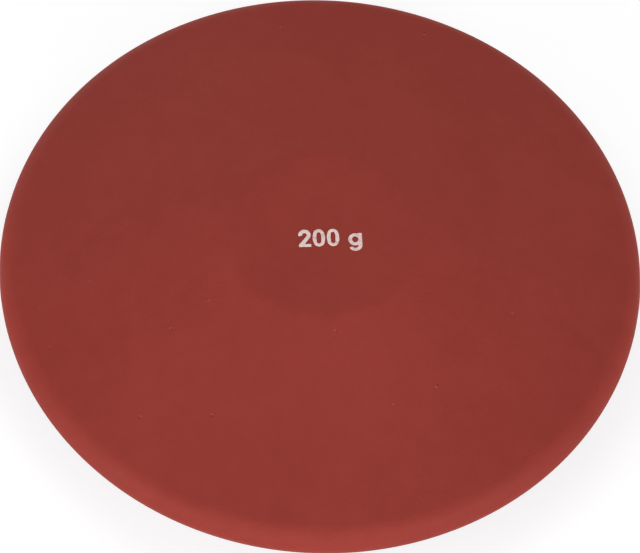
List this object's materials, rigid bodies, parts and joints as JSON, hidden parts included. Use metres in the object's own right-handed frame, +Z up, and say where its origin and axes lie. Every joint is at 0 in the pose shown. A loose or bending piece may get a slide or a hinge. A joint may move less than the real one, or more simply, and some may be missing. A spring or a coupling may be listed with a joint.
{
  "type": "discus",
  "caption": "Soft throwing discus: a foam disc with level centres, conical faces and a full round rim, closed in a thin tough skin and marked with its mass.",
  "frame": {"origin": "centre of the lower level face, on the surface that the discus rests on", "axes": "+Z up along the axis of revolution, +X in the reading direction of the printed mass"},
  "size_m": [0.18, 0.18, 0.0381],
  "materials": {
    "skin": "matte",
    "foam": "matte",
    "ink": "matte"
  },
  "bodies": {
    "root": {"upper_skin": "skin", "lower_skin": "skin", "foam_core": "foam", "print_digit_two": "ink", "print_digit_zero_left": "ink", "print_digit_zero_right": "ink", "print_letter_gram": "ink"}
  },
  "joints": []
}
